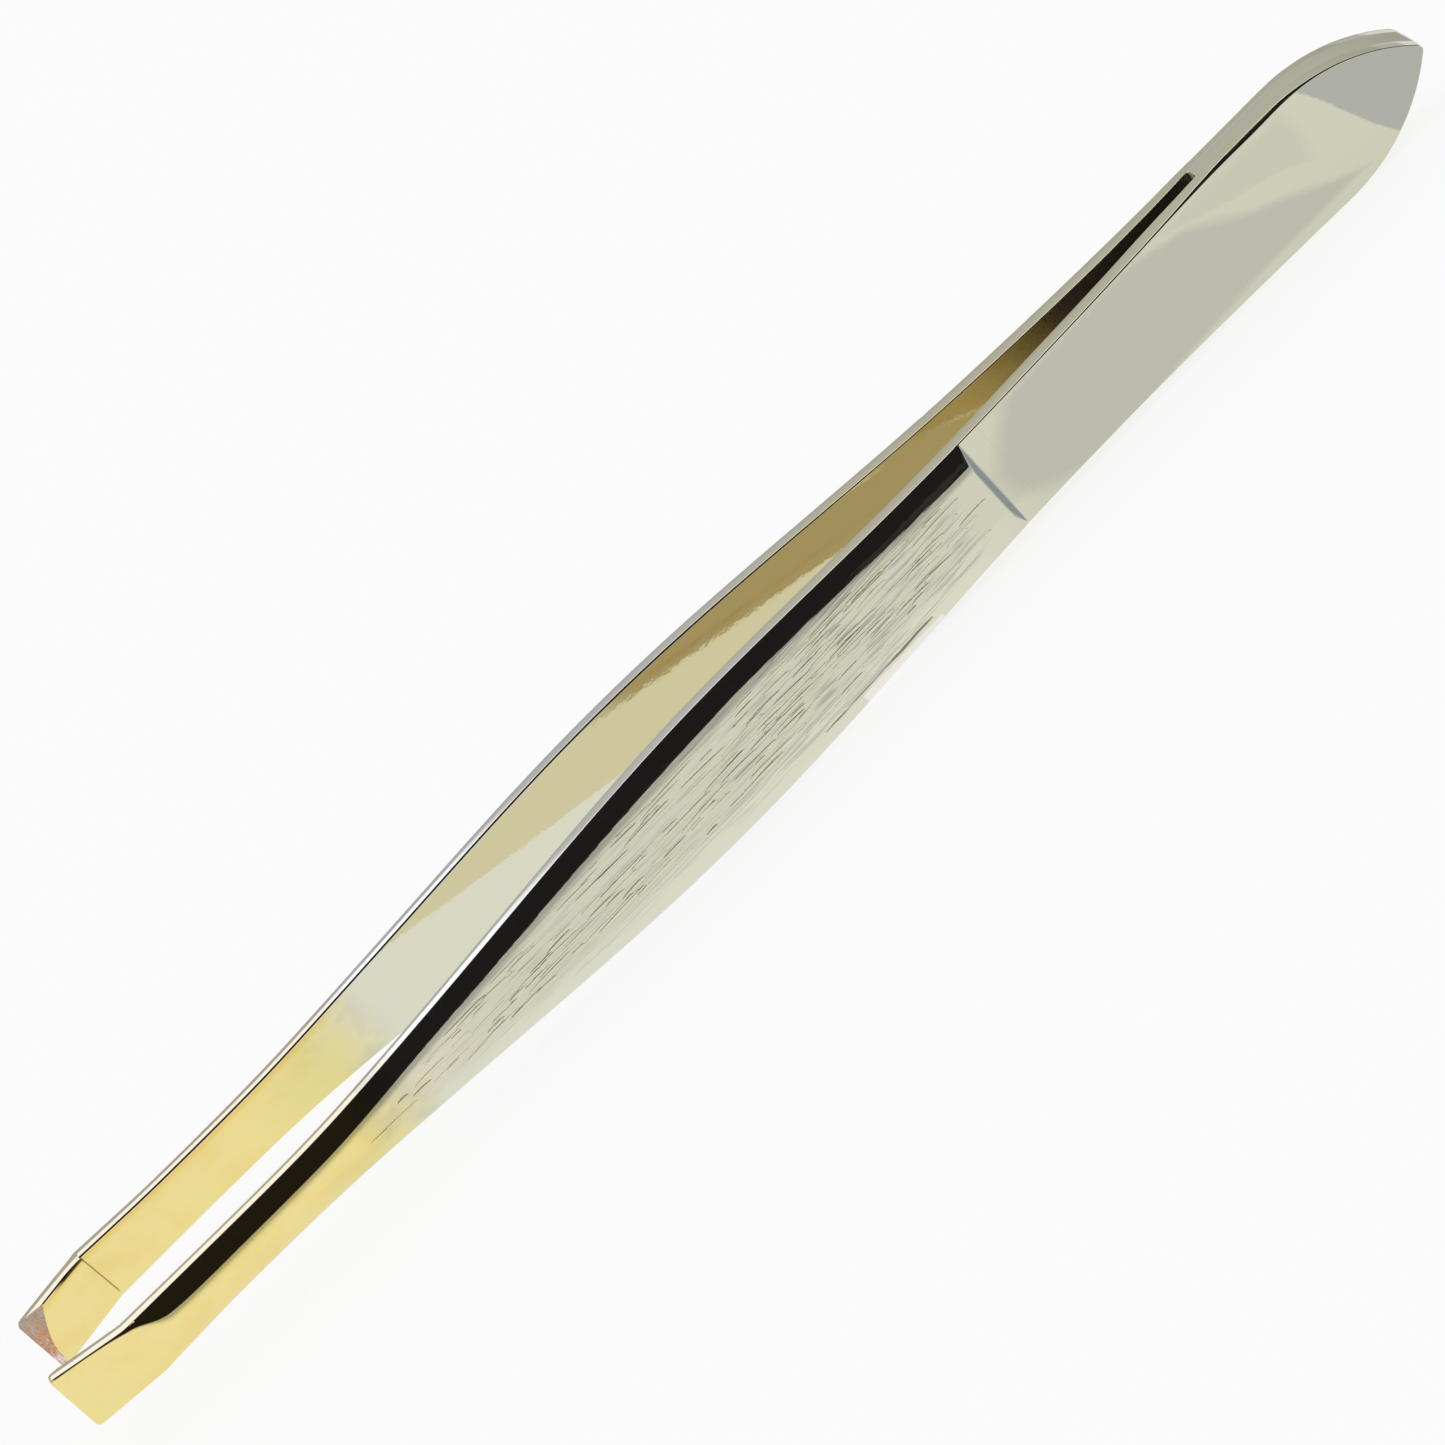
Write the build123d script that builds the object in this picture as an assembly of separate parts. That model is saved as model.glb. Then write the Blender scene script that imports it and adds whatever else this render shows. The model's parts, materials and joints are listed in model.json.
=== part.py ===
from build123d import *
import math
import os

# Sprung tongs made of two mirror-image spring strips, joined at the head over a spacer.
# Frame: X runs from the jaws (-X) to the head (+X), Y is the way the jaws open, and
# Z is the width of the strips. The tongs lie on the long edges of their strips, so
# Z = 0 is the surface under them. All sizes are in millimetres.

# ---- whole object
LENGTH = 100.0
GRIP_HALF_WIDTH = 3.85          # widest place of the strips, and so the height of the mid-line
BACK_OF_ARM = -LENGTH / 2       # where the jaws end
HEAD_END = LENGTH / 2

# ---- places along the strip
CREASE_X = -45.2                # the jaw is bent inwards from here to the end
GRIP_X = -2.0                   # widest place of the grip
RAMP_X = 17.5                   # the raised panel starts to come down
SHOULDER_X = 18.0               # the raised panel has ended
HINGE_X = 28.0                  # middle of the bending stretch of the neck
SLOT_END_X = 36.6               # the spacer starts here

# ---- jaw
JAW_HALF_WIDTH = 2.00           # the jaw is a little wider at its end than at the crease
JAW_OUTER = 3.67                # from the middle plane to the outer face at the jaw's end
JAW_THICKNESS = 0.84            # before its gripping face is ground
GROUND_OFF = 0.24               # taken off the middle of the inner face at the very end
JAW_TWIST = 4.5                 # degrees; the upper edge leans in, so more of it is ground off
JAW_CORNER_RADIUS = 0.25

# ---- arm, from the crease to the shoulder:
#      x, half width, outer edge from the middle plane, edge thickness, rise of the panel
ARM_STATIONS = (
    (CREASE_X, 1.80, 4.80, 0.78, 0.10),
    (-43.0, 1.75, 4.70, 0.73, 0.35),
    (-41.0, 1.71, 4.63, 0.70, 0.50),
    (-37.0, 1.69, 4.60, 0.68, 0.55),
    (-31.0, 1.80, 4.62, 0.70, 0.55),
    (-20.0, 2.66, 4.44, 0.72, 0.55),
    (-10.0, 3.53, 4.10, 0.75, 0.55),
    (GRIP_X, GRIP_HALF_WIDTH, 3.67, 0.77, 0.55),
    (8.0, 3.58, 3.10, 0.82, 0.55),
    (RAMP_X, 3.25, 2.42, 0.90, 0.55),
)
PANEL_BEVEL = 0.95              # width of the bevel beside the raised panel, across the strip
THIN_BEVEL = 0.05               # where the panel has faded out

# ---- neck and head
SHOULDER_HALF_WIDTH = 3.24
NECK_HALF_WIDTH = 3.30          # at the hinge
HEAD_HALF_WIDTH = 3.70
HEAD_SIDE_RADIUS = 11.2         # of the two arcs that bring the head to its point
HEAD_POINT_RADIUS = 0.40
HEAD_OUTER = 1.25               # half the thickness of the head
SPACER_HALF = 0.50              # half the thickness of the spacer
SHOULDER_OUTER = 2.39
SHOULDER_INNER = 1.48
OUTER_SLOPE = 0.07              # of the two faces at the shoulder, towards the middle plane
INNER_SLOPE = 0.09
HINGE_OUTER = 1.75
HINGE_INNER = 0.77
SLOT_PARALLEL_X = 34.0          # the slot has parallel sides from here to the spacer
HEAD_FLAT_X = 38.0              # the outer face of the head is flat from here on

# ---- the split in each neck, where a hinge stands for the bending of the strip
HINGE_Y = (HINGE_OUTER + HINGE_INNER) / 2
KNUCKLE_RADIUS = 0.42
KNUCKLE_CLEARANCE = 0.03
SPLIT_GAP = 0.25                # between the two ends beside the knuckle
JAW_CLEARANCE = 0.015           # each closed jaw stops this far from the middle plane

ROOM = 20.0                     # larger than any section, for cutting tools
ALONG = (1, 0)                  # direction of the strip where it runs straight


def closing_angle():
    """Angle in radians by which one arm turns until its jaw is at the middle plane."""
    along = HINGE_X - BACK_OF_ARM
    across = JAW_OUTER - JAW_THICKNESS + GROUND_OFF - HINGE_Y
    reach = math.hypot(along, across)
    return math.atan2(across, along) + math.asin((HINGE_Y - JAW_CLEARANCE) / reach)


def strip_section(x, half_width, outer, thickness, rise, bevel):
    """Cross-section of a strip: flat inner face, thin edges, raised panel outside."""
    inner = outer - thickness
    panel = half_width - bevel
    corners = [(x, inner, -half_width), (x, inner, half_width), (x, outer, half_width),
               (x, outer + rise, panel), (x, outer + rise, -panel), (x, outer, -half_width)]
    return Face(Wire.make_polygon([Vector(*corner) for corner in corners]))


def panel_bevel(rise):
    """The bevel narrows with the panel's rise, where the panel fades out at the crease."""
    full_rise = ARM_STATIONS[-1][4]
    return max(THIN_BEVEL, PANEL_BEVEL * rise / full_rise)


def arm_grip():
    """The long sprung part of a strip, with the raised panel between its bevels."""
    sections = [strip_section(*station, panel_bevel(station[4])) for station in ARM_STATIONS]
    return loft(sections)


def shoulder_ramp():
    """The short slope in which the raised panel comes down to the level of the neck."""
    start = strip_section(*ARM_STATIONS[-1], PANEL_BEVEL)
    end = strip_section(SHOULDER_X, SHOULDER_HALF_WIDTH, SHOULDER_OUTER,
                        SHOULDER_OUTER - SHOULDER_INNER, 0.0, THIN_BEVEL)
    return loft([start, end], ruled=True)


def jaw():
    """The flat, inward-bent jaw with rounded corners, its gripping face ground flat."""
    crease = strip_section(*ARM_STATIONS[0], panel_bevel(ARM_STATIONS[0][4]))
    end = strip_section(BACK_OF_ARM, JAW_HALF_WIDTH, JAW_OUTER, JAW_THICKNESS, 0.0, THIN_BEVEL)
    middle = Axis((BACK_OF_ARM, JAW_OUTER - JAW_THICKNESS / 2, 0), (1, 0, 0))
    blade = loft([crease, end.rotate(middle, JAW_TWIST)], ruled=True)
    twist = math.radians(JAW_TWIST)
    through_jaw = Axis((0, 0, 0), (0, math.cos(twist), math.sin(twist)))
    corners = blade.faces().sort_by(Axis.X)[0].edges().filter_by(through_jaw)
    blade = fillet(corners, JAW_CORNER_RADIUS)
    gripping_edge = JAW_OUTER - JAW_THICKNESS + GROUND_OFF
    grinder = Pos(0, -ROOM / 2, 0) * Box(ROOM, ROOM, ROOM)
    turned = Rot(0, 0, -math.degrees(closing_angle())) * grinder
    return blade - Pos(BACK_OF_ARM, gripping_edge, 0) * turned


def neck_and_head_blank():
    """The plain part of a strip, from the shoulder to the pointed end of the head."""
    outer = Spline((SHOULDER_X, SHOULDER_OUTER), (HINGE_X, HINGE_OUTER), (HEAD_FLAT_X, HEAD_OUTER),
                   tangents=((1, -OUTER_SLOPE), ALONG))
    inner = Spline((SLOT_PARALLEL_X, SPACER_HALF), (HINGE_X, HINGE_INNER), (SHOULDER_X, SHOULDER_INNER),
                   tangents=((-1, 0), (-1, INNER_SLOPE)))
    side = outer + Polyline((HEAD_FLAT_X, HEAD_OUTER), (HEAD_END, HEAD_OUTER), (HEAD_END, SPACER_HALF),
                            (SLOT_PARALLEL_X, SPACER_HALF))
    side += inner + Line((SHOULDER_X, SHOULDER_INNER), (SHOULDER_X, SHOULDER_OUTER))
    return extrude(make_face(side), ROOM / 2, both=True)


def neck_and_head_outline():
    """The leaf shape of the neck and head, seen square on to the strip."""
    past_middle = HEAD_SIDE_RADIUS - HEAD_HALF_WIDTH
    to_point_centre = math.sqrt((HEAD_SIDE_RADIUS - HEAD_POINT_RADIUS) ** 2 - past_middle ** 2)
    widest_x = HEAD_END - HEAD_POINT_RADIUS - to_point_centre
    point_x = widest_x + math.sqrt(HEAD_SIDE_RADIUS ** 2 - past_middle ** 2)
    sides = []
    for sign in (1, -1):
        widest = (widest_x, sign * HEAD_HALF_WIDTH)
        neck = Spline((SHOULDER_X, sign * SHOULDER_HALF_WIDTH), (HINGE_X, sign * NECK_HALF_WIDTH),
                      widest, tangents=(ALONG, ALONG))
        sides += [neck, TangentArc(widest, (point_x, 0), tangent=ALONG)]
    foot = Line((SHOULDER_X, -SHOULDER_HALF_WIDTH), (SHOULDER_X, SHOULDER_HALF_WIDTH))
    flat = make_face(Curve() + sides + foot)
    point = flat.vertices().sort_by(Axis.X)[-1]
    flat = fillet(point, HEAD_POINT_RADIUS)
    return extrude(Rot(90, 0, 0) * flat, ROOM, both=True)


def slab(x_from, x_to):
    """A block that holds everything between two places along the strip."""
    return Pos((x_from + x_to) / 2, 0, 0) * Box(x_to - x_from, ROOM, ROOM)


def knuckle(radius):
    """A round bar on the hinge axis of the back strip."""
    return Pos(HINGE_X, HINGE_Y, 0) * Cylinder(radius, ROOM)


def back_arm():
    """Jaw, grip and the near half of the neck, ending in a round knuckle."""
    outline = neck_and_head_outline()
    neck = neck_and_head_blank() & outline & slab(SHOULDER_X, HINGE_X)
    return jaw() + arm_grip() + shoulder_ramp() + neck + (knuckle(KNUCKLE_RADIUS) & outline)


def back_arm_root():
    """The far half of the neck and the head, with the knuckle's seat."""
    blank = neck_and_head_blank() & neck_and_head_outline() & slab(HINGE_X + SPLIT_GAP, HEAD_END)
    return blank - knuckle(KNUCKLE_RADIUS + KNUCKLE_CLEARANCE)


def spacer():
    """The strip between the two heads, ground flush with their outline."""
    bar = Pos((SLOT_END_X + HEAD_END) / 2, 0, 0) * Box(HEAD_END - SLOT_END_X, 2 * SPACER_HALF, ROOM)
    return bar & neck_and_head_outline()


def main():
    arm = back_arm()
    root = back_arm_root()
    nodes = {
        "back_arm": arm,
        "front_arm": mirror(arm, about=Plane.XZ),
        "back_arm_root": root,
        "front_arm_root": mirror(root, about=Plane.XZ),
        "spacer": spacer(),
    }
    os.makedirs("parts", exist_ok=True)
    for name, shape in nodes.items():
        export_step(Pos(0, 0, GRIP_HALF_WIDTH) * shape, f"parts/{name}.step")
    print("closing angle of each arm, degrees:", round(math.degrees(closing_angle()), 3))
    print("hinge axes at x, y:", HINGE_X, "and", HINGE_Y, "either side of the middle")


main()
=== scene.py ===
# %% [markdown]
# # Sprung tongs with gold-plated jaws
# Tongs of this kind are two mirror-image strips of spring steel, welded at the head over a short
# spacer. Each strip is stamped, bent, polished bright and plated: nickel all over, then gold on
# the jaws. There is nothing else to see, so the whole look is in three things: how clean the
# curves are, how the edges are rounded, and what the bright metal has around it to mirror.

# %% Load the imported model
import json
import math

import bmesh
import bpy
import numpy as np
from mathutils import Matrix, Vector


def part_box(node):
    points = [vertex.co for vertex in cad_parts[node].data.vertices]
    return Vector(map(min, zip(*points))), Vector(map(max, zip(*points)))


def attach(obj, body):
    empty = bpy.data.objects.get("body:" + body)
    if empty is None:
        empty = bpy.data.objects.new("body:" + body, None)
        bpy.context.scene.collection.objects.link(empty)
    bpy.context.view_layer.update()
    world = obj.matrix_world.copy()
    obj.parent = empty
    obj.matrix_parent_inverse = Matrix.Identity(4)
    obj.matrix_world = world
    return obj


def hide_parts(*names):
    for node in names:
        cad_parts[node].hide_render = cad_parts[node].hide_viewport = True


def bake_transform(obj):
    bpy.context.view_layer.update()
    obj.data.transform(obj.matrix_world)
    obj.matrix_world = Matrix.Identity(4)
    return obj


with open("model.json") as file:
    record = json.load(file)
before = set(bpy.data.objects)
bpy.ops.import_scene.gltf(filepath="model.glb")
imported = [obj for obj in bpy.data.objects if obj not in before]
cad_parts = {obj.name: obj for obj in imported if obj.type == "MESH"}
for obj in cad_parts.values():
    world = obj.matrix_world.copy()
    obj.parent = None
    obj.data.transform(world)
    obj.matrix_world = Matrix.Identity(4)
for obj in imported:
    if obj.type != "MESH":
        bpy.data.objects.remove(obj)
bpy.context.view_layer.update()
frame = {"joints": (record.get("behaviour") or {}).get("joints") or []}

MM = 0.001                      # the frame is in metres, the shapes below are in millimetres
hinge = Vector(frame["joints"][1]["pos_m"]) / MM
JAW_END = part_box("back_arm")[0].x / MM
HEAD_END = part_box("back_arm_root")[1].x / MM
MIDDLE_Z = hinge.z
print("jaw end", round(JAW_END, 2), "head end", round(HEAD_END, 2), "middle height", round(MIDDLE_Z, 2))

# %% [markdown]
# ## Small helpers
# Colours are written as the hex values a paint chart or a screen would show, and Blender's shaders
# work with linear light, so one function turns one into the other. A node tree is a list of boxes
# with values or links in their sockets, so one function adds a box with all of them at once. It
# uses another that can also fill the sockets of a box that is there already.

# %% Colour and node helpers
def colour(code):
    """Linear RGBA from an sRGB hex code."""
    parts = [int(code[i:i + 2], 16) / 255 for i in (1, 3, 5)]
    linear = [c / 12.92 if c <= 0.04045 else ((c + 0.055) / 1.055) ** 2.4 for c in parts]
    return (*linear, 1.0)


def fill(node, inputs):
    """Fills inputs with values, sockets or nodes. A node stands for its first output in use."""
    for name, value in inputs.items():
        if isinstance(value, bpy.types.Node):
            value = next(socket for socket in value.outputs if socket.enabled)
        if isinstance(value, bpy.types.NodeSocket):
            node.id_data.links.new(value, node.inputs[name])
        else:
            node.inputs[name].default_value = value


def add(tree, kind, inputs=None, **settings):
    """Adds a node to a tree, sets its options and fills its inputs."""
    node = tree.nodes.new(kind)
    for name, value in settings.items():
        setattr(node, name, value)
    fill(node, inputs or {})
    return node


# %% Helpers for materials and objects
def new_material(name):
    """A new material, its node tree and its shader."""
    material = bpy.data.materials.new(name)
    material.use_nodes = True
    return material, material.node_tree, material.node_tree.nodes["Principled BSDF"]


def object_axes(tree):
    """The place on the piece, split into x, y and z."""
    place = add(tree, "ShaderNodeTexCoord")
    return add(tree, "ShaderNodeSeparateXYZ", {"Vector": place.outputs["Object"]})


def pattern(tree, size, inputs):
    """Noise that lies still on the piece, with waves of this size in mm along x, y and z."""
    place = add(tree, "ShaderNodeTexCoord")
    stretch = [1 / (length * MM) for length in size]
    stretched = add(tree, "ShaderNodeMapping", {"Vector": place.outputs["Object"], "Scale": stretch})
    return add(tree, "ShaderNodeTexNoise", {"Vector": stretched, "Scale": 1.0, **inputs})


def set_stops(ramp, stops):
    """Gives a colour ramp these stops, and takes its own first and last away."""
    for position, tone in stops:
        ramp.elements.new(position).color = tone
    for own in (0, -1):
        ramp.elements.remove(ramp.elements[own])


def new_object(name, mesh):
    made = bpy.data.objects.new(name, mesh)
    bpy.context.scene.collection.objects.link(made)
    return made


# %% [markdown]
# ## Plating
# The arms are electroplated nickel over polished steel, and the jaws have a thin gold flash over
# the nickel. The gold is brushed or dipped on, so it fades into the nickel over a few millimetres
# with no hard line. One metal shader serves both: only its colour changes along the strip. Bright
# plating is nearly a mirror, but never perfect: the steel under it keeps a slight waviness from
# stamping and a very fine polishing grain, which is what breaks up the edges of reflections.

# %% Bright plating material
GOLD = "#fbe99a"
GOLD_DEEP = "#f8dd80"           # where the flash is thicker
GOLD_EDGE = "#f8d263"           # current crowds at the edges, so the gold is heaviest just inside them
GOLD_WORN = "#f3e7cb"           # on the edges themselves, where tumbling has thinned it
GOLD_HAZE = "#bab698"           # where the flash runs out it is cloudy
NICKEL = "#f3ebce"
NICKEL_WORN = "#f5f2ea"         # tumbled edges are a little whiter
CREASE_SHADE = "#453a20"         # painted shade along the crease and under the lip of the curled corner
RIPPLE_SHADE = "#b5afa9"          # grey painted along the ripples of the grip, as their shade
SLOT_SHADE = "#aca193"           # shade painted into the slot, deeper towards its end
GOLD_FULL_X = -29.5             # the gold begins to thin out here, and is gone at the next place
GOLD_GONE_X = -24.2
GOLD_WANDER = 3.0               # across the strip both places wander by up to this much
SLOT_WANDER = 2.2
SLOT_BROWN_X = (20.6, 26.8)     # the painted shade in the slot grows slowly
SLOT_BLACK_X = (26.6, 28.8)     # and then quickly
BROWN_SHARE = 0.45
SLOT_ROUGHNESS = 0.3            # where the slot is painted dark it is also this much rougher
CLOUDS = (2.2, 2.2, 1.6)        # sizes of the patterns along x, y and z
RIPPLES = (3.0, 0.5, 0.13)
WAVES = (1.6, 0.9, 0.9)
GRAIN = (0.35, 0.22, 0.22)      # polishing grain, drawn several times coarser than it is, to show
WAVE_DEPTH = 0.0016
GRAIN_DEPTH = 0.0013
RIPPLE_DEPTH = 0.02
PLATE_ROUGHNESS = (0.025, 0.05)
ATTRIBUTES = ("rim", "near_edge", "inside", "crease_shade", "hatched")    # what each point of a strip says


def bright_plating():
    material, tree, metal = new_material("electroplated_gold_and_nickel")
    rim, near_edge, inside, crease_shade, hatched = [
        add(tree, "ShaderNodeAttribute", attribute_name=name).outputs["Fac"] for name in ATTRIBUTES]
    cloud = pattern(tree, CLOUDS, {"Detail": 3.0})
    ripples = pattern(tree, RIPPLES, {"Detail": 2.0, "Distortion": 0.15})
    along = object_axes(tree).outputs["X"]
    fading_x, slot_x = [add(tree, "ShaderNodeMath", {0: cloud, 1: wander * MM, 2: along},
                            operation="MULTIPLY_ADD") for wander in (GOLD_WANDER, SLOT_WANDER)]

    patches = add(tree, "ShaderNodeMapRange", {"Value": cloud, "From Min": 0.45, "From Max": 0.75,
                                               "To Max": 0.5})
    gold = colour(GOLD)
    for share, code in ((patches, GOLD_DEEP), (near_edge, GOLD_EDGE), (rim, GOLD_WORN)):
        gold = add(tree, "ShaderNodeMix", {"Factor": share, 6: gold, 7: colour(code)}, data_type="RGBA")

    # shade painted into the slot, deeper towards its end
    brown = add(tree, "ShaderNodeMapRange", {"Value": slot_x, "From Min": SLOT_BROWN_X[0] * MM,
                                             "From Max": SLOT_BROWN_X[1] * MM, "To Max": BROWN_SHARE})
    black = add(tree, "ShaderNodeMapRange", {"Value": slot_x, "From Min": SLOT_BLACK_X[0] * MM,
                                             "From Max": SLOT_BLACK_X[1] * MM, "To Max": 1 - BROWN_SHARE},
                interpolation_type="SMOOTHSTEP")
    deep = add(tree, "ShaderNodeMath", {0: brown, 1: black}, operation="ADD")
    slot_shade = add(tree, "ShaderNodeMath", {0: deep, 1: inside}, operation="MULTIPLY")
    streaks = add(tree, "ShaderNodeMapRange", {"Value": ripples, "From Min": 0.48, "From Max": 0.66,
                                               "To Max": 0.7})
    # grey painted along the ripples, as their shade
    ripple_shade = add(tree, "ShaderNodeMath", {0: streaks, 1: hatched}, operation="MULTIPLY")
    nickel = colour(NICKEL)
    for share, code in ((rim, NICKEL_WORN), (ripple_shade, RIPPLE_SHADE), (slot_shade, SLOT_SHADE)):
        nickel = add(tree, "ShaderNodeMix", {"Factor": share, 6: nickel, 7: colour(code)}, data_type="RGBA")

    full, gone = [(x + GOLD_WANDER / 2) * MM for x in (GOLD_FULL_X, GOLD_GONE_X)]
    gilt = add(tree, "ShaderNodeMapRange", {"Value": fading_x, "From Min": full, "From Max": gone,
                                            "To Min": 1.0, "To Max": 0.0}, interpolation_type="SMOOTHSTEP")
    ungilt = add(tree, "ShaderNodeMath", {0: 1.0, 1: gilt}, operation="SUBTRACT")
    fading = add(tree, "ShaderNodeMath", {0: ungilt, 1: gilt}, operation="MULTIPLY")
    clouds = add(tree, "ShaderNodeMapRange", {"Value": cloud, "From Min": 0.42, "From Max": 0.6,
                                              "To Max": 1.3})
    haze = add(tree, "ShaderNodeMath", {0: fading, 1: clouds}, operation="MULTIPLY")
    plate = add(tree, "ShaderNodeMix", {"Factor": gilt, 6: nickel, 7: gold}, data_type="RGBA")
    # the haze is the gold's own colour, the crease colour is painted shade
    for share, code in ((haze, GOLD_HAZE), (crease_shade, CREASE_SHADE)):
        plate = add(tree, "ShaderNodeMix", {"Factor": share, 6: plate, 7: colour(code)}, data_type="RGBA")

    bloom = add(tree, "ShaderNodeMapRange", {"Value": cloud, "From Min": 0.3, "From Max": 0.7,
                                             "To Min": PLATE_ROUGHNESS[0], "To Max": PLATE_ROUGHNESS[1]})
    dulled = add(tree, "ShaderNodeMath", {0: slot_shade, 1: SLOT_ROUGHNESS, 2: bloom}, operation="MULTIPLY_ADD")
    hatching = add(tree, "ShaderNodeMath", {0: ripples, 1: hatched}, operation="MULTIPLY")
    normal = {}
    for height, depth in ((pattern(tree, WAVES, {"Detail": 1.0}), WAVE_DEPTH),
                          (pattern(tree, GRAIN, {"Detail": 2.0}), GRAIN_DEPTH), (hatching, RIPPLE_DEPTH)):
        normal = {"Normal": add(tree, "ShaderNodeBump", {"Height": height, "Strength": 1.0,
                                                         "Distance": depth * MM, **normal})}
    fill(metal, {"Metallic": 1.0, "Base Color": plate, "Roughness": dulled, **normal})
    return material


plating = bright_plating()
print("made", plating.name)

# %% [markdown]
# ## Bare steel
# The gripping ends of the jaws are ground flat against each other after plating, so the steel shows
# there with short coarse scratches, a trace of copper from under the nickel, and a little tarnish
# that is darker towards the upper corner, where the jaws touch first.

# %% Ground steel material
# from tarnished steel over copper to clean steel
TARNISH = ((0.14, "#83826f"), (0.28, "#d8cbbd"), (0.38, "#b0a493"), (0.48, "#e8b48c"),
           (0.57, "#bd8860"), (0.67, "#f0c8b4"), (0.84, "#f8e8e0"))
FACE_HALF_HEIGHT = 1.7
STREAK_SHARE = 3.2              # how much the streaks count beside the height on the face
STREAKS = (0.12, 0.5, 0.7)
SCRATCHES = (0.05, 0.3, 0.6)    # a scratch is some hundredths of a millimetre wide
SCRATCH_DEPTH = 0.012
TONE_SCALE, TONE_SHIFT = 0.45, -0.41    # bring streaks and height into the range of the stops
GROUND_ROUGHNESS = 0.42


def ground_steel():
    material, tree, metal = new_material("ground_spring_steel")
    streaks = pattern(tree, STREAKS, {"Detail": 4.0, "Roughness": 0.7})
    lowness = add(tree, "ShaderNodeMapRange", {"Value": object_axes(tree).outputs["Z"],
                                               "From Min": (MIDDLE_Z + FACE_HALF_HEIGHT) * MM,
                                               "From Max": (MIDDLE_Z - FACE_HALF_HEIGHT) * MM})
    summed = add(tree, "ShaderNodeMath", {0: streaks, 1: STREAK_SHARE, 2: lowness}, operation="MULTIPLY_ADD")
    shade = add(tree, "ShaderNodeMath", {0: summed, 1: TONE_SCALE, 2: TONE_SHIFT}, operation="MULTIPLY_ADD")
    tone = add(tree, "ShaderNodeValToRGB", {"Fac": shade})
    set_stops(tone.color_ramp, [(position, colour(code)) for position, code in TARNISH])
    scratches = pattern(tree, SCRATCHES, {"Detail": 2.0})
    relief = add(tree, "ShaderNodeBump", {"Height": scratches, "Distance": SCRATCH_DEPTH * MM})
    fill(metal, {"Metallic": 1.0, "Roughness": GROUND_ROUGHNESS, "Base Color": tone, "Normal": relief})
    return material


bare = ground_steel()
print("made", bare.name)

# %% [markdown]
# ## The curves of a strip
# A strip could be a box that is bent and bevelled by modifiers, but bright metal shows every uneven
# spacing of a bevel. So it is lofted: a few stations along the strip give its width, where its
# outer edge runs and how thick the edge is, and smooth curves through them give every section in
# between. Natural cubic splines are used because a mirror shows not only a kink in a surface but
# also a sudden change in its curvature.

# %% Stations and the curves through them
# x, half width, outer edge from the middle plane, edge thickness
ARM = np.array((
    (-45.2, 1.80, 4.80, 0.78),
    (-43.0, 1.75, 4.70, 0.73),
    (-41.0, 1.71, 4.63, 0.70),
    (-37.0, 1.69, 4.60, 0.68),
    (-31.0, 1.80, 4.62, 0.70),
    (-26.0, 2.14, 4.57, 0.70),
    (-20.0, 2.66, 4.44, 0.72),
    (-10.0, 3.53, 4.10, 0.75),
    (-2.0, 3.85, 3.67, 0.77),
    (8.0, 3.58, 3.10, 0.82),
    (17.5, 3.25, 2.42, 0.90),
))
# x, half width, outer face and inner face from the middle plane
NECK = np.array((
    (18.0, 3.24, 2.39, 1.48),
    (23.0, 3.24, 2.05, 1.08),
    (28.0, 3.30, 1.75, 0.77),
    (34.0, 3.48, 1.42, 0.50),
    (38.0, 3.65, 1.26, 0.50),
    (41.0, 3.70, 1.25, 0.50),
))
HEAD_FLAT_X = 41.0              # the faces are flat from here on
HEAD_OUTER = 1.25               # half the thickness of the head, and of the spacer in it
SPACER_HALF = 0.5
CREASE_X = -45.2
CREASE_OUTER, CREASE_INNER = 4.80, 4.02     # from the middle plane to both faces at the crease
JAW_OUTER = 3.67
JAW_THICKNESS = 0.79            # at its end
JAW_HALF_WIDTH = 2.00
GROUND_FROM_Y = 3.07            # the gripping face is ground down to here at the very end


def natural_spline(xs, ys):
    """A function of x that runs smoothly through the points."""
    gap = np.diff(xs)
    slope = np.diff(ys) / gap
    system = np.eye(len(xs))
    target = np.zeros(len(xs))
    for i in range(1, len(xs) - 1):
        system[i, i - 1:i + 2] = gap[i - 1], 2 * (gap[i - 1] + gap[i]), gap[i]
        target[i] = 6 * (slope[i] - slope[i - 1])
    bend = np.linalg.solve(system, target)

    def at(x):
        i = int(np.clip(np.searchsorted(xs, x) - 1, 0, len(gap) - 1))
        left, right = x - xs[i], xs[i + 1] - x
        curved = bend[i] * right ** 3 / 6 + bend[i + 1] * left ** 3 / 6
        at_left, at_right = (ys[k] - bend[k] * gap[i] ** 2 / 6 for k in (i, i + 1))
        return (curved + at_left * right + at_right * left) / gap[i]

    return at


half_width_at = natural_spline(np.r_[JAW_END, ARM[:, 0], NECK[1:, 0]],
                               np.r_[JAW_HALF_WIDTH, ARM[:, 1], NECK[1:, 1]])
arm_outer_at = natural_spline(ARM[:, 0], ARM[:, 2])
arm_inner_at = natural_spline(ARM[:, 0], ARM[:, 2] - ARM[:, 3])
neck_outer_at = natural_spline(NECK[:, 0], NECK[:, 2])
neck_inner_at = natural_spline(NECK[:, 0], NECK[:, 3])
print("half width at the grip", round(half_width_at(-2.0), 3))

# %% [markdown]
# The crease of the jaw and the shoulder are real corners, only slightly rounded. Two straight lines
# blended by a square root make such a corner, with its roundness set by one number.

# %% Corners and ramps
FULL_RISE = 0.55                # of the raised panel over the edge line
FULL_BEVEL = 0.95               # at this width the bevel has its full rise
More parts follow.
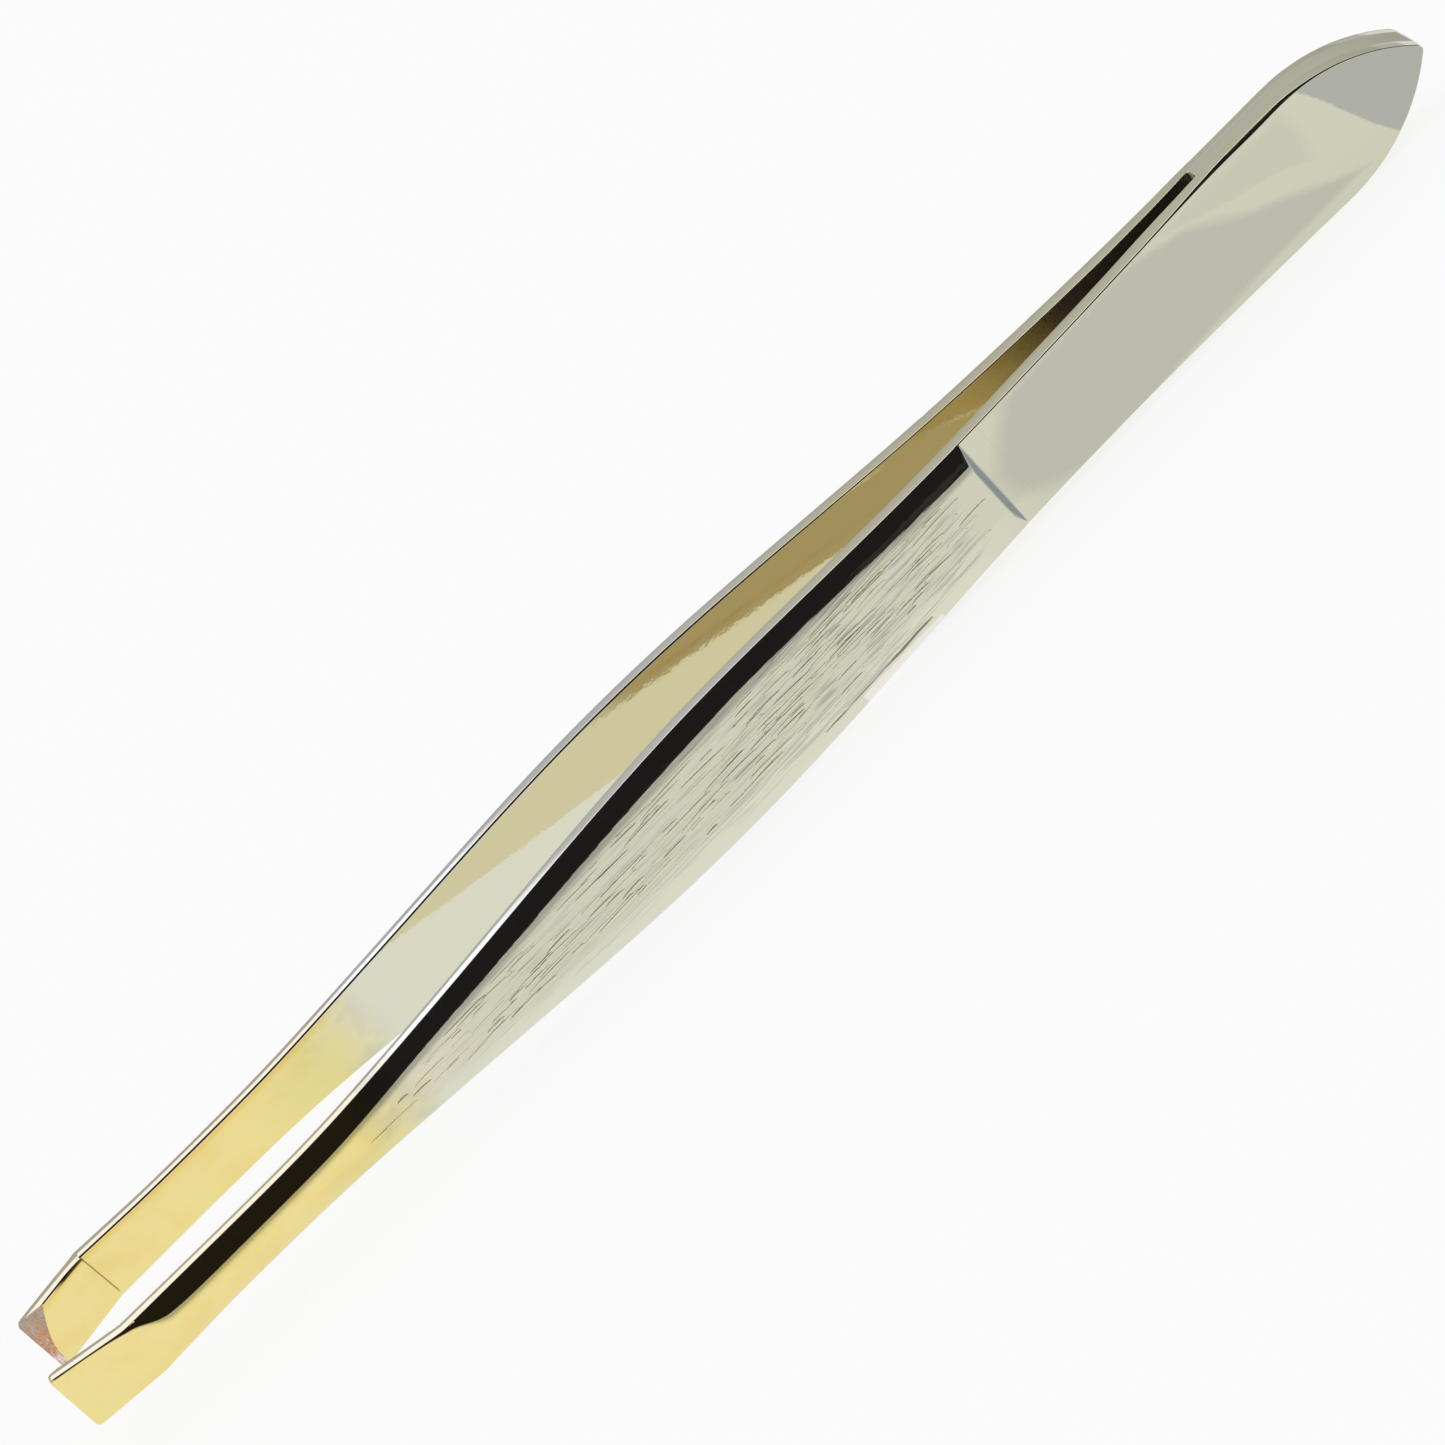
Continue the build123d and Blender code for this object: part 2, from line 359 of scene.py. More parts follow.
# x and width of the bevel beside the panel: it grows quickly behind the crease
PANEL_BEVEL = np.array(((-50.0, 0.10), (-46.4, 0.10), (-45.5, 0.16), (-44.6, 0.34), (-43.6, 0.77),
                        (-42.5, 1.02), (-41.2, 1.10), (-38.0, 1.10), (-34.0, 1.09), (-29.0, 1.07),
                        (-25.5, 0.98), (-22.0, 0.96), (-17.0, 1.04), (-10.0, 1.10), (-5.0, 1.15),
                        (-1.0, 1.09), (3.0, 1.05), (8.0, 1.08), (14.0, 1.21), (18.0, 1.20)))
# the same for the neck and the head: hardly there, and widest on the upper side of the head
HEAD_BEVEL = np.array(((17.0, 0.09), (24.0, 0.09), (30.0, 0.10), (34.0, 0.13), (38.0, 0.23), (40.5, 0.27),
                       (43.0, 0.19), (45.0, 0.11), (47.0, 0.08), (50.0, 0.08)))
RAMP_FROM_X = 17.5              # the panel comes down to the neck here
RAMP_TO_X = 17.85
ARM_TO_X = RAMP_FROM_X - 0.6    # up to here the strip follows the arm's own curves
OUTER_OVERLAP_X = 18.5          # they run on to these two places while the neck's curves take over
INNER_OVERLAP_X = 19.0
ARM_CHAMFER = 0.06
PANEL_CROWN = 0.05              # the panel falls off by this much towards its bevels
PANEL_FALL = 0.6                # within this width
BEVEL_TILT = 0.58               # its drop for each millimetre of width
CREASE_MARK = 0.025             # depth and half width of the line that the bending edge pressed in
CREASE_MARK_WIDTH = 0.04
CREASE_SLANT = 0.02             # it isn't quite square to the strip


def lower_of(a, b, roundness):
    return (a + b) / 2 - math.sqrt((a - b) ** 2 / 4 + roundness ** 2)


def ramp(x, start, end, roundness):
    """Grows from 0 to 1 between two places, with rounded ends."""
    near, far = math.hypot(x - start, roundness), math.hypot(x - end, roundness)
    return 0.5 + (near - far) / (2 * (end - start))


def share_between(value, bounds):
    """0 before the first bound, 1 past the second, and even between them."""
    return float(np.clip((value - bounds[0]) / (bounds[1] - bounds[0]), 0, 1))


def jaw_line(x, at_crease, at_end):
    share = (x - CREASE_X) / (JAW_END - CREASE_X)
    return at_crease + share * (at_end - at_crease)


panel_bevel_at = natural_spline(PANEL_BEVEL[:, 0], PANEL_BEVEL[:, 1])


def panel_share(x):
    """How far the raised panel has grown at x, from 0 to 1."""
    if x > RAMP_TO_X + 1:
        return 0.0
    share = float(np.clip(panel_bevel_at(x) / FULL_BEVEL, 0, 1))
    return share * (1 - ramp(x, RAMP_FROM_X, RAMP_TO_X, roundness=0.02))


head_bevel_at = natural_spline(HEAD_BEVEL[:, 0], HEAD_BEVEL[:, 1])


def outer_edge(x):
    """Distance of the outer edge from the middle plane, and the rise and width of its bevel."""
    if x < ARM_TO_X:
        edge = lower_of(arm_outer_at(max(x, CREASE_X)), jaw_line(x, CREASE_OUTER, JAW_OUTER), roundness=0.02)
    else:
        to_neck = ramp(x, RAMP_FROM_X - 0.3, RAMP_TO_X, roundness=0.15)
        arm, neck = arm_outer_at(min(x, OUTER_OVERLAP_X)), neck_outer_at(min(x, HEAD_FLAT_X))
        edge = (1 - to_neck) * arm + to_neck * neck
    share = panel_share(x)
    chamfer = head_bevel_at(x) if x > HEAD_BEVEL[0, 0] else ARM_CHAMFER
    rise = share * (FULL_RISE - PANEL_CROWN) + (1 - share) * chamfer * BEVEL_TILT
    width = chamfer
    if share > 0:
        down = 1 - ramp(x, RAMP_FROM_X, RAMP_TO_X, roundness=0.02)
        width = down * max(panel_bevel_at(x), chamfer) + (1 - down) * chamfer
    return edge - (1 - share) * chamfer * BEVEL_TILT, rise, width


def inner_face(x):
    """Distance of the inner face from the middle plane."""
    if x < ARM_TO_X:
        jaw = jaw_line(x, CREASE_INNER, JAW_OUTER - JAW_THICKNESS)
        face = lower_of(arm_inner_at(max(x, CREASE_X)), jaw, roundness=0.006)
        return face + CREASE_MARK * math.exp(-((x - CREASE_X) / CREASE_MARK_WIDTH) ** 2)
    to_neck = ramp(x, RAMP_FROM_X - 2.0, RAMP_TO_X, roundness=0.6)
    arm, neck = arm_inner_at(min(x, INNER_OVERLAP_X)), neck_inner_at(min(x, HEAD_FLAT_X))
    return max((1 - to_neck) * arm + to_neck * neck, SPACER_HALF)


print("edge, rise and bevel at the grip", [round(v, 2) for v in outer_edge(-2.0)])

# %% [markdown]
# ## The outline of a strip
# Seen square on, a strip runs from the square jaw, whose corners are just rounded, through the
# wide grip and the neck to the leaf-shaped head. Each side of the head is one arc, and a small
# arc joins them at the point. The outline is kept as points with the direction that leads
# inwards, so that every bevel can follow it round the point.

# %% Outline points from the jaw's end to the head's point
JAW_CORNER = 0.30
HEAD_HALF_WIDTH = 3.70
HEAD_SIDE_RADIUS = 11.2
POINT_RADIUS_FRONT = 0.40
POINT_RADIUS_BACK = 1.15        # the back strip's point was ground rounder
SIDES_FROM_X = 38.0             # in front of the arcs the steps get even


def outline(point_radius):
    """Rows of x, half width, and the inward direction's x and z parts, for the upper side."""
    rows = []
    for turn in np.linspace(0, math.pi / 2, 7)[:-1]:
        drop = JAW_CORNER * (1 - math.sin(turn))
        x = JAW_END + JAW_CORNER * (1 - math.cos(turn))
        rows.append((x, half_width_at(x) - drop, math.cos(turn), -math.sin(turn)))
    past_middle = HEAD_SIDE_RADIUS - HEAD_HALF_WIDTH
    to_point = math.sqrt((HEAD_SIDE_RADIUS - point_radius) ** 2 - past_middle ** 2)
    point_x = HEAD_END - point_radius
    widest_x = point_x - to_point
    stretches = ((JAW_END + JAW_CORNER, -46.2, 0.2), (-46.2, CREASE_X - 0.2, 0.05),
                 (CREASE_X - 0.2, CREASE_X + 0.2, 0.02), (CREASE_X + 0.2, -42.6, 0.05),
                 (-42.6, 16.9, 0.3), (16.9, 18.5, 0.03), (18.5, SIDES_FROM_X, 0.3),
                 (SIDES_FROM_X, widest_x, (widest_x - SIDES_FROM_X) / 14))
    for start, end, step in stretches:      # the steps are close at the crease and the shoulder
        for x in np.linspace(start, end, round((end - start) / step) + 1)[:-1]:
            slope = (half_width_at(x + 0.05) - half_width_at(x - 0.05)) / 0.1
            size = math.hypot(1, slope)
            rows.append((x, half_width_at(x), slope / size, -1 / size))
    lean = math.atan2(to_point, past_middle)
    for centre_x, centre_z, radius, start, end, steps in (
            (widest_x, -past_middle, HEAD_SIDE_RADIUS, 0, lean, 36),
            (point_x, 0.0, point_radius, lean, math.pi / 2, 10)):
        for turn in np.linspace(start, end, steps + 1)[:-1]:
            rows.append((centre_x + radius * math.sin(turn), centre_z + radius * math.cos(turn),
                         -math.sin(turn), -math.cos(turn)))
    rows.append((HEAD_END, 0.0, -1.0, 0.0))
    return np.array(rows)


front_outline = outline(POINT_RADIUS_FRONT)
back_outline = outline(POINT_RADIUS_BACK)
print("outline points", len(front_outline), len(back_outline), "widest", round(front_outline[:, 1].max(), 2))

# %% [markdown]
# ## Sections
# The long edges of such tongs are tumbled before plating, which rounds every corner a little and
# crowns the edges. Those small radii catch the bright lines that run the whole length of the tongs,
# so they are real geometry here: each corner of a section is a short arc, with one more point close
# to each of its ends, which keeps the flat faces flat in smooth shading.

# %% One half of a section, from the inner face over the edge to the panel
INNER_CHAMFER = (0.08, 0.05)    # the inner corners are broken by a steep little bevel: height and width
FINER_CHAMFER_X = (0.0, 16.0)   # it gets smaller by this share between these places
FINER_BY = 0.45
HAIRLINE = 0.006                # what is left of it in the head, at the joints with the spacer
CHAMFER_CORNER = 0.03
OUTER_CORNER = 0.05
PANEL_CORNER = 0.60
HEAD_PANEL_CORNER = 0.08
BEVEL_CROWN = 0.012
EDGE_CROWN = 0.035
HEAD_JOINED_X = 36.6            # from here on the two strips and the spacer are one solid head
HEAD_CROWN = 0.05
BETWEEN = (0.2, 0.4, 0.6, 0.8)  # points between two corners
FAR = 1.0                       # a corner's neighbour on an open face is this far away
MOST_REACH = 0.42               # an arc takes at most this share of the sides beside its corner
SIDE_SHARE, SIDE_MOST = 0.35, 0.03      # the point beside the arc is as far from it as its share, or this


def rounded(before, corner, after, radius, steps):
    """Points of the arc that rounds a corner, with one more on the straight side at each end."""
    a, b = before - corner, after - corner
    half = a.angle(b) / 2
    reach = min(radius / math.tan(half), MOST_REACH * a.length, MOST_REACH * b.length)
    radius = reach * math.tan(half)
    a.normalize()
    b.normalize()
    centre = corner + (a + b).normalized() * radius / math.sin(half)
    first, last = corner + a * reach - centre, corner + b * reach - centre
    turn = first.angle(last)
    shares = [(math.sin((1 - k / steps) * turn), math.sin(k / steps * turn)) for k in range(steps + 1)]
    arc = [centre + (first * a_share + last * b_share) / math.sin(turn) for a_share, b_share in shares]
    side = min(SIDE_SHARE * reach, SIDE_MOST)
    return [arc[0] + a * side, *arc, arc[-1] + b * side]


def crown_drop(x, y, inner, outer):
    """How far the crowned edge lies below its top line at y."""
    joined = ramp(x, HEAD_JOINED_X - 6, HEAD_JOINED_X, roundness=0.5)
    middle = (1 - joined) * (inner + outer) / 2
    half = (1 - joined) * (outer - inner) / 2 + joined * HEAD_OUTER
    crown = (1 - joined) * EDGE_CROWN + joined * HEAD_CROWN
    return crown * ((y - middle) / half) ** 2


def half_section(x):
    """Rows of distance from the rim, distance from the middle plane, and closeness to the rim."""
    inner = inner_face(x)
    outer, rise, bevel = outer_edge(x)
    joined = ramp(x, HEAD_JOINED_X - 1.5, HEAD_JOINED_X, roundness=0.2)
    finer = 1 - FINER_BY * float(np.interp(x, FINER_CHAMFER_X, (0, 1)))
    high, wide = (size * finer * (1 - joined) + HAIRLINE for size in INNER_CHAMFER)
    share = panel_share(x)
    panel_slope = share * 2 * PANEL_CROWN / PANEL_FALL
    corners = [Vector(c) for c in ((FAR, inner), (high, inner), (0.0, inner + wide), (0.0, outer),
                                   (bevel, outer + rise), (bevel + FAR, outer + rise + panel_slope))]
    radius = CHAMFER_CORNER * (1 - joined) + HAIRLINE / 2
    inner_arc = rounded(*corners[0:3], radius, 2) + rounded(*corners[1:4], radius, 2)
    outer_arc = rounded(*corners[2:5], OUTER_CORNER, 4)
    panel_arc = rounded(*corners[3:6], share * PANEL_CORNER + (1 - share) * HEAD_PANEL_CORNER, 6)
    edge = [inner_arc[-1].lerp(outer_arc[0], part) for part in BETWEEN]
    along = corners[4] - corners[3]
    outwards = Vector((-along.y, along.x)).normalized()
    slope = [outer_arc[-1].lerp(panel_arc[0], part) + outwards * BEVEL_CROWN * share * 4 * part * (1 - part)
             for part in BETWEEN]
    rows = []
    for group, rim in ((inner_arc, 1), (edge, 1), (outer_arc, 1), (slope, 0), (panel_arc, 0)):
        for point in group:
            drop = crown_drop(x, point.y, inner, outer) if rim else 0.0
            rows.append((point.x + drop, point.y, rim))
    return rows


print("points in half a section", len(half_section(0.0)))

# %% [markdown]
# ## Lofting the strip
# Every section is a closed ring: across the inner face, over the upper edge, across the panel and
# back under the lower edge. Rings of neighbouring stations are joined by quads. At the jaw the last
# ring is closed by a rounded end face, and at the head's point the ring shrinks to a line, so
# merging doubles closes it. Each point also carries what the plating has to know about its place.

# %% Straight rings
INNER_PLACES = (-0.95, -0.8, -0.5, -0.2, 0.1, 0.4, 0.6, 0.72, 0.82, 0.9, 0.96)    # across the inner face
INNER_STEPS = len(INNER_PLACES)
PANEL_HALF = (0.975, 0.94, 0.9, 0.85, 0.78, 0.7, 0.5, 0.25)
PANEL_PLACES = (*PANEL_HALF, 0.0, *(-place for place in PANEL_HALF[::-1]))
PANEL_STEPS = len(PANEL_PLACES)
INNER_HOLLOW = 0.02
NEAR_EDGE = 0.75                # the heavy gold begins this far out on the inner face
EDGE_WHITE_X = (-3.0, 12.0)     # the edges are polished whiter, which fades between these places
EDGE_WHITENESS = 0.95


def panel_lift(half_width, place):
    """How far the panel at a place across it stands over its own edge."""
    inwards = half_width * (1 - abs(place))
    return PANEL_CROWN * (1 - max(0.0, 1 - inwards / PANEL_FALL) ** 2)


def straight_ring(x, width, in_x, in_z):
    """Points of x, y, z, closeness to the rim, and closeness to the upper edge on the inner face."""
    white = 1 - EDGE_WHITENESS * float(np.interp(x, EDGE_WHITE_X, (0, 1)))
    upper = [(x + d * in_x, y, width + d * in_z, rim * white, 0) for d, y, rim in half_section(x)]
    chamfer_end = inner_face(x) + INNER_CHAMFER[1]
    lower = [(px, py, -pz, rim if py > chamfer_end else 0, 0) for px, py, pz, rim, _ in upper]
    (start_x, start_y, start_z, *_), (end_x, end_y, end_z, *_) = upper[0], upper[-1]
    hollow = INNER_HOLLOW * (1 - ramp(x, HEAD_JOINED_X - 4, HEAD_JOINED_X, roundness=0.2))
    across_inner = [(start_x, start_y + hollow * (1 - s * s), s * start_z, 0,
                     share_between(s, (NEAR_EDGE, 1))) for s in INNER_PLACES]
    across_panel = [(end_x, end_y + panel_share(x) * panel_lift(end_z, s), s * end_z, 0, 0)
                    for s in PANEL_PLACES]
    return across_inner + upper + across_panel + lower[::-1]


# %% Rings with the jaw twisted and curled
JAW_TWIST = math.radians(3.0)   # the upper edge of each jaw leans in
BACK_CURL = 0.42                # the back one's upper corner is also curled in by this much
FRONT_CURL = 0.0
CURL_FROM_Z = -0.9
CREASE_BULGE = 0.35             # bending has squeezed metal out of the upper corner beside the crease
BULGE_LENGTH = 0.7
BULGE_Z = (1.25, 1.8)
CREASE_LINE_SHADE = 0.8                 # strength of the shade painted along the crease, which stops near the lower edge
LINE_FROM_Z = -1.5
LIP_X = (-47.4, -46.6)          # the shadow painted under the lip of the curled corner grows here
LIP_WIDTH = 0.93                # the lip begins at this share of the half width
HATCH_X = (-27.0, -22.0, -10.0, 0.0, 6.0, 14.5, 16.0)        # the rippled part of the panel
HATCH_DEPTH = (0.0, 0.35, 0.45, 0.65, 1.0, 1.0, 0.0)
PANEL_FROM = (0.42, 0.50)       # what is higher than this over the edge line is the panel
ON_INNER, NEAR_INNER = 0.97, 0.9        # points past these shares lie on the inner face, or close to it


def strip_rings(outline_rows, jaw_curl):
    """Rings of points: x, y, z and the values of ATTRIBUTES."""
    rings = []
    for x, width, in_x, in_z in outline_rows:
        ring = straight_ring(x, width, in_x, in_z)
        inner, outer = inner_face(x), outer_edge(x)[0]
        middle = (inner + outer) / 2
        in_jaw = share_between(x, (CREASE_X, JAW_END))
        twist = JAW_TWIST * in_jaw
        curled = jaw_curl > 0 and x < CREASE_X
        bulge = CREASE_BULGE * math.exp((x - CREASE_X) / BULGE_LENGTH) if curled else 0.0
        lip_z = LIP_WIDTH * ring[INNER_STEPS][2] if curled else math.inf
        hatched = float(np.interp(x, HATCH_X, HATCH_DEPTH))
        bent = []
        for px, py, pz, rim, near_edge in ring:
            on_inner = share_between(py, (outer, inner))
            curl = jaw_curl * in_jaw * max(0.0, (pz - CURL_FROM_Z) / (JAW_HALF_WIDTH - CURL_FROM_Z)) ** 2
            curl += on_inner * bulge * share_between(pz, BULGE_Z) ** 2
            y = middle - curl + (py - middle) * math.cos(twist) - pz * math.sin(twist)
            z = (py - middle) * math.sin(twist) + pz * math.cos(twist)
            inside = on_inner > ON_INNER and not rim
            # painted shade: a dark line along the crease, and the shadow under the lip of the curled corner
            crease_shade = 0.0
            if inside and pz > LINE_FROM_Z:
                from_line = x - CREASE_X + CREASE_SLANT * (pz - JAW_HALF_WIDTH)
                crease_shade = CREASE_LINE_SHADE * math.exp(-(from_line / CREASE_MARK_WIDTH) ** 2)
            if on_inner > NEAR_INNER and pz > lip_z:
                crease_shade = share_between(x, LIP_X)
            on_panel = share_between(py - outer, PANEL_FROM)
            bent.append((px, y, z, rim, near_edge, inside, crease_shade, hatched * on_panel))
        rings.append(bent)
    return rings


# %% Strip mesh
MERGED = 0.0005                 # points closer than this become one
SHARP = math.radians(40)        # a corner above this stays sharp in smooth shading


def join_rings(bm, rings):
    """Joins rings of points by quads, and stores the values that each point carries."""
    layers = [bm.verts.layers.float.new(name) for name in ATTRIBUTES]
    rows = []
    for ring in rings:
        rows.append([])
        for x, y, z, *values in ring:
            vertex = bm.verts.new((x * MM, y * MM, (z + MIDDLE_Z) * MM))
            for layer, value in zip(layers, values):
                vertex[layer] = value
            rows[-1].append(vertex)
    count = len(rows[0])
    for row, following in zip(rows, rows[1:]):
        for k in range(count):
            after = (k + 1) % count
            bm.faces.new((row[k], following[k], following[after], row[after]))
    return rows


def close_jaw_end(bm, row):
    """Joins the upper and the lower half of the first ring by an end face with rounded edges."""
    half = len(half_section(0.0))
    upper = row[INNER_STEPS:INNER_STEPS + half]
    lower = row[INNER_STEPS + half + PANEL_STEPS:][::-1]
    for k in range(half - 1):
        bm.faces.new((upper[k], upper[k + 1], lower[k + 1], lower[k]))
    bm.faces.new((*row[:INNER_STEPS], upper[0], lower[0]))
    bm.faces.new((upper[-1], *row[INNER_STEPS + half:INNER_STEPS + half + PANEL_STEPS], lower[-1]))


def grind_jaw(bm):
    """Cuts the gripping end flat, so that the two jaws meet face to face when they close."""
    closing = math.radians(frame["joints"][1]["range_deg"][1])
    edge = Vector((JAW_END, GROUND_FROM_Y, MIDDLE_Z)) * MM
    away = Vector((-math.sin(closing), -math.cos(closing), 0))
    everything = bm.verts[:] + bm.edges[:] + bm.faces[:]
    cut = bmesh.ops.bisect_plane(bm, geom=everything, plane_co=edge, plane_no=away, clear_outer=True)
    rim = [part for part in cut["geom_cut"] if isinstance(part, bmesh.types.BMEdge)]
    for face in bmesh.ops.contextual_create(bm, geom=rim)["faces"]:
        face.material_index = 1


def finished_piece(bm, name, side, materials, nodes):
    """Merges doubles, mirrors the piece for side -1 and puts it in the place of its CAD nodes."""
    bmesh.ops.remove_doubles(bm, verts=bm.verts, dist=MERGED * MM)
    for vertex in bm.verts:
        vertex.co.y *= side
    bmesh.ops.recalc_face_normals(bm, faces=bm.faces)
    open_edges = sum(not edge.is_manifold for edge in bm.edges)
    print(name, "faces", len(bm.faces), "open or doubled edges", open_edges)
    mesh = bpy.data.meshes.new(name)
    bm.to_mesh(mesh)
    bm.free()
    mesh.shade_smooth()
    mesh.set_sharp_from_angle(angle=SHARP)
    for material in materials:
        mesh.materials.append(material)
    made = new_object(name, mesh)
    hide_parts(*nodes)
    return made


def strip(body, side, outline_rows, jaw_curl):
    """One strip. side is 1 for the back one and -1 for its mirror image."""
    bm = bmesh.new()
    rows = join_rings(bm, strip_rings(outline_rows, jaw_curl))
    close_jaw_end(bm, rows[0])
    grind_jaw(bm)
    name = body.replace("arm", "strip")
    return finished_piece(bm, name, side, (plating, bare), (body, body + "_root"))


back_strip = strip("back_arm", 1, back_outline, BACK_CURL)
front_strip = strip("front_arm", -1, front_outline, FRONT_CURL)
print("made", back_strip.name, "and", front_strip.name)

# %% [markdown]
# ## The spacer
# A short piece of the same strip stock lies between the two heads. It is ground and polished
# together with them, so its edge carries on their crown and only a hairline shows each joint.

# %% Spacer mesh
SLOT_FILLET = 0.18              # the weld fills the corners at the end of the slot
FILLET_LENGTH = 0.2
SLOT_LIP = 0.07                 # and its upper rim is worn round
SPACER_WHITENESS = 0.2


def slot_end(y):
    """How far the weld reaches into the slot at y."""
    past = max(0.0, abs(y) - (SPACER_HALF - SLOT_FILLET))
    return SLOT_FILLET - math.sqrt(max(0.0, SLOT_FILLET ** 2 - past ** 2))


def head_spacer():
    bm = bmesh.new()
    across = np.linspace(-SPACER_HALF, SPACER_HALF, 17)
    side = half_width_at(HEAD_JOINED_X)
    lip = [(HEAD_JOINED_X + SLOT_LIP * (1 - math.cos(turn)), side, 0.0, -1.0, SLOT_LIP * (1 - math.sin(turn)))
           for turn in np.linspace(0, math.pi / 2, 4)]
    sides = [(*front, 0.0, *back, 0.0) for front, back in zip(front_outline, back_outline)
             if front[0] > HEAD_JOINED_X + SLOT_LIP + 0.05]
    rings = []
    for row in [2 * point for point in lip] + sides:
        at_front, at_back = np.array(row[:5]), np.array(row[5:])
        upper = []
        for y in across:
            part = (y + SPACER_HALF) / (2 * SPACER_HALF)
            x, width, in_x, in_z, worn = at_front + (at_back - at_front) * part
            in_slot = float(np.clip(1 - (x - HEAD_JOINED_X) / FILLET_LENGTH, 0, 1))
            drop = crown_drop(x, y, SPACER_HALF, HEAD_OUTER) + worn
            upper.append((x - in_slot * slot_end(y) + drop * in_x, y, width + drop * in_z, SPACER_WHITENESS))
        rings.append(upper + [(px, py, -pz, white) for px, py, pz, white in upper[::-1]])
    rows = join_rings(bm, rings)
    first, count = rows[0], len(across)
    for k in range(count - 1):
        bm.faces.new((first[k], first[k + 1], first[2 * count - 2 - k], first[2 * count - 1 - k]))
    return finished_piece(bm, "head_spacer", 1, (plating,), ("spacer",))


spacer = head_spacer()
print("made", spacer.name)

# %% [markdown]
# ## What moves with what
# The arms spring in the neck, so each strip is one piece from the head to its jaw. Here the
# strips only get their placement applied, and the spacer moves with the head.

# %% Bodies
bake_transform(back_strip)
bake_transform(front_strip)
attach(spacer, "head")

# %% [markdown]
# ## Hatching on the grip
# The raised panel is roughened lengthwise so that the fingers hold it: a coarse tool leaves
# hundreds of short, thin ridges, all nearly along the strip, thicker together towards the head.
# Hundreds of alike things of random size are a job for Geometry Nodes: points are scattered over
# a patch of the panel, and each one gets a slim spindle, half sunk in the metal. The finer
# ripples between the ridges are bumps in the plating's material, with grey shade painted along them.

# %% Scattering tree
NEW_INPUTS = (("Patch", "Geometry"), ("Ridges per mm2", "Float"), ("Shortest", "Vector"),
              ("Longest", "Vector"), ("Turn", "Float"), ("Seed", "Int"), ("Finish", "Material"))
CLUMP = 1.8                     # size of the clumps that the ridges stand in
SUNK = 0.5                      # share of a ridge's height that it is sunk by


def spindle_scatter():
    """Geometry Nodes tree: spindles scattered over a mesh, all lying nearly along X."""
    tree = bpy.data.node_groups.new("grip_hatching", "GeometryNodeTree")
    for name, kind in NEW_INPUTS:
        tree.interface.new_socket(name, in_out="INPUT", socket_type="NodeSocket" + kind)
    tree.interface.new_socket("Ridges", in_out="OUTPUT", socket_type="NodeSocketGeometry")
    given = add(tree, "NodeGroupInput").outputs
    crowding = add(tree, "GeometryNodeInputNamedAttribute", {"Name": "crowding"}, data_type="FLOAT")
    clumps = add(tree, "ShaderNodeTexNoise", {"Scale": 1 / (CLUMP * MM), "Detail": 1.0})
    clumped = add(tree, "ShaderNodeMapRange", {"Value": clumps, "From Min": 0.35, "From Max": 0.6,
                                               "To Min": 0.5, "To Max": 1.3})
    amount = add(tree, "ShaderNodeMath", {0: crowding, 1: clumped}, operation="MULTIPLY")
    per_metre = add(tree, "ShaderNodeMath", {0: given["Ridges per mm2"], 1: 1 / MM ** 2},
                    operation="MULTIPLY")
    density = add(tree, "ShaderNodeMath", {0: amount, 1: per_metre}, operation="MULTIPLY")
    points = add(tree, "GeometryNodeDistributePointsOnFaces",
                 {"Mesh": given["Patch"], "Density": density, "Seed": given["Seed"]})
    flat = add(tree, "FunctionNodeAlignRotationToVector",
               {"Rotation": points.outputs["Rotation"], "Vector": (1, 0, 0)}, axis="X", pivot_axis="Z")
    least = add(tree, "ShaderNodeMath", {0: given["Turn"], 1: -1.0}, operation="MULTIPLY")
    angle = add(tree, "FunctionNodeRandomValue", {2: least, 3: given["Turn"], "Seed": given["Seed"]},
                data_type="FLOAT")
    turn = add(tree, "ShaderNodeCombineXYZ", {"Z": angle})
    spin = add(tree, "FunctionNodeEulerToRotation", {"Euler": turn})
    lying = add(tree, "FunctionNodeRotateRotation", {"Rotation": flat, "Rotate By": spin},
                rotation_space="LOCAL")
    size = add(tree, "FunctionNodeRandomValue", {0: given["Shortest"], 1: given["Longest"],
                                                 "Seed": given["Seed"]}, data_type="FLOAT_VECTOR")
    ball = add(tree, "GeometryNodeMeshUVSphere", {"Segments": 8, "Rings": 6, "Radius": MM})
    spindle = add(tree, "GeometryNodeTransform", {"Geometry": ball, "Translation": (0, 0, -SUNK * MM),
                                                  "Rotation": (0, math.pi / 2, 0)})
    smooth = add(tree, "GeometryNodeSetShadeSmooth", {"Geometry": spindle})
    placed = add(tree, "GeometryNodeInstanceOnPoints", {"Points": points, "Instance": smooth,
                                                        "Rotation": lying, "Scale": size})
    whole = add(tree, "GeometryNodeRealizeInstances", {"Geometry": placed})
    finished = add(tree, "GeometryNodeSetMaterial", {"Geometry": whole, "Material": given["Finish"]})
    add(tree, "NodeGroupOutput", {"Ridges": finished})
    return tree


scatter = spindle_scatter()
print("inputs", [item.name for item in scatter.interface.items_tree if item.in_out == "INPUT"])

# %% Ridges on both panels
# x and how closely the ridges stand there
CROWDING = ((-29.8, 0.0), (-28.5, 0.45), (-25.0, 0.62), (-12.0, 0.6), (-4.0, 0.6), (3.0, 0.75), (15.2, 0.8),
            (16.2, 0.0))
RIDGES_PER_MM2 = 1.8
SHORTEST_RIDGE = (0.30, 0.060, 0.010)   # half length, half width and height in mm
LONGEST_RIDGE = (1.90, 0.145, 0.031)
RIDGE_TURN = math.radians(2.5)
PATCH_PLACES = np.linspace(0.86, -0.74, 7)      # across the panel, from near its upper bevel
PATCH_STEP = 0.45


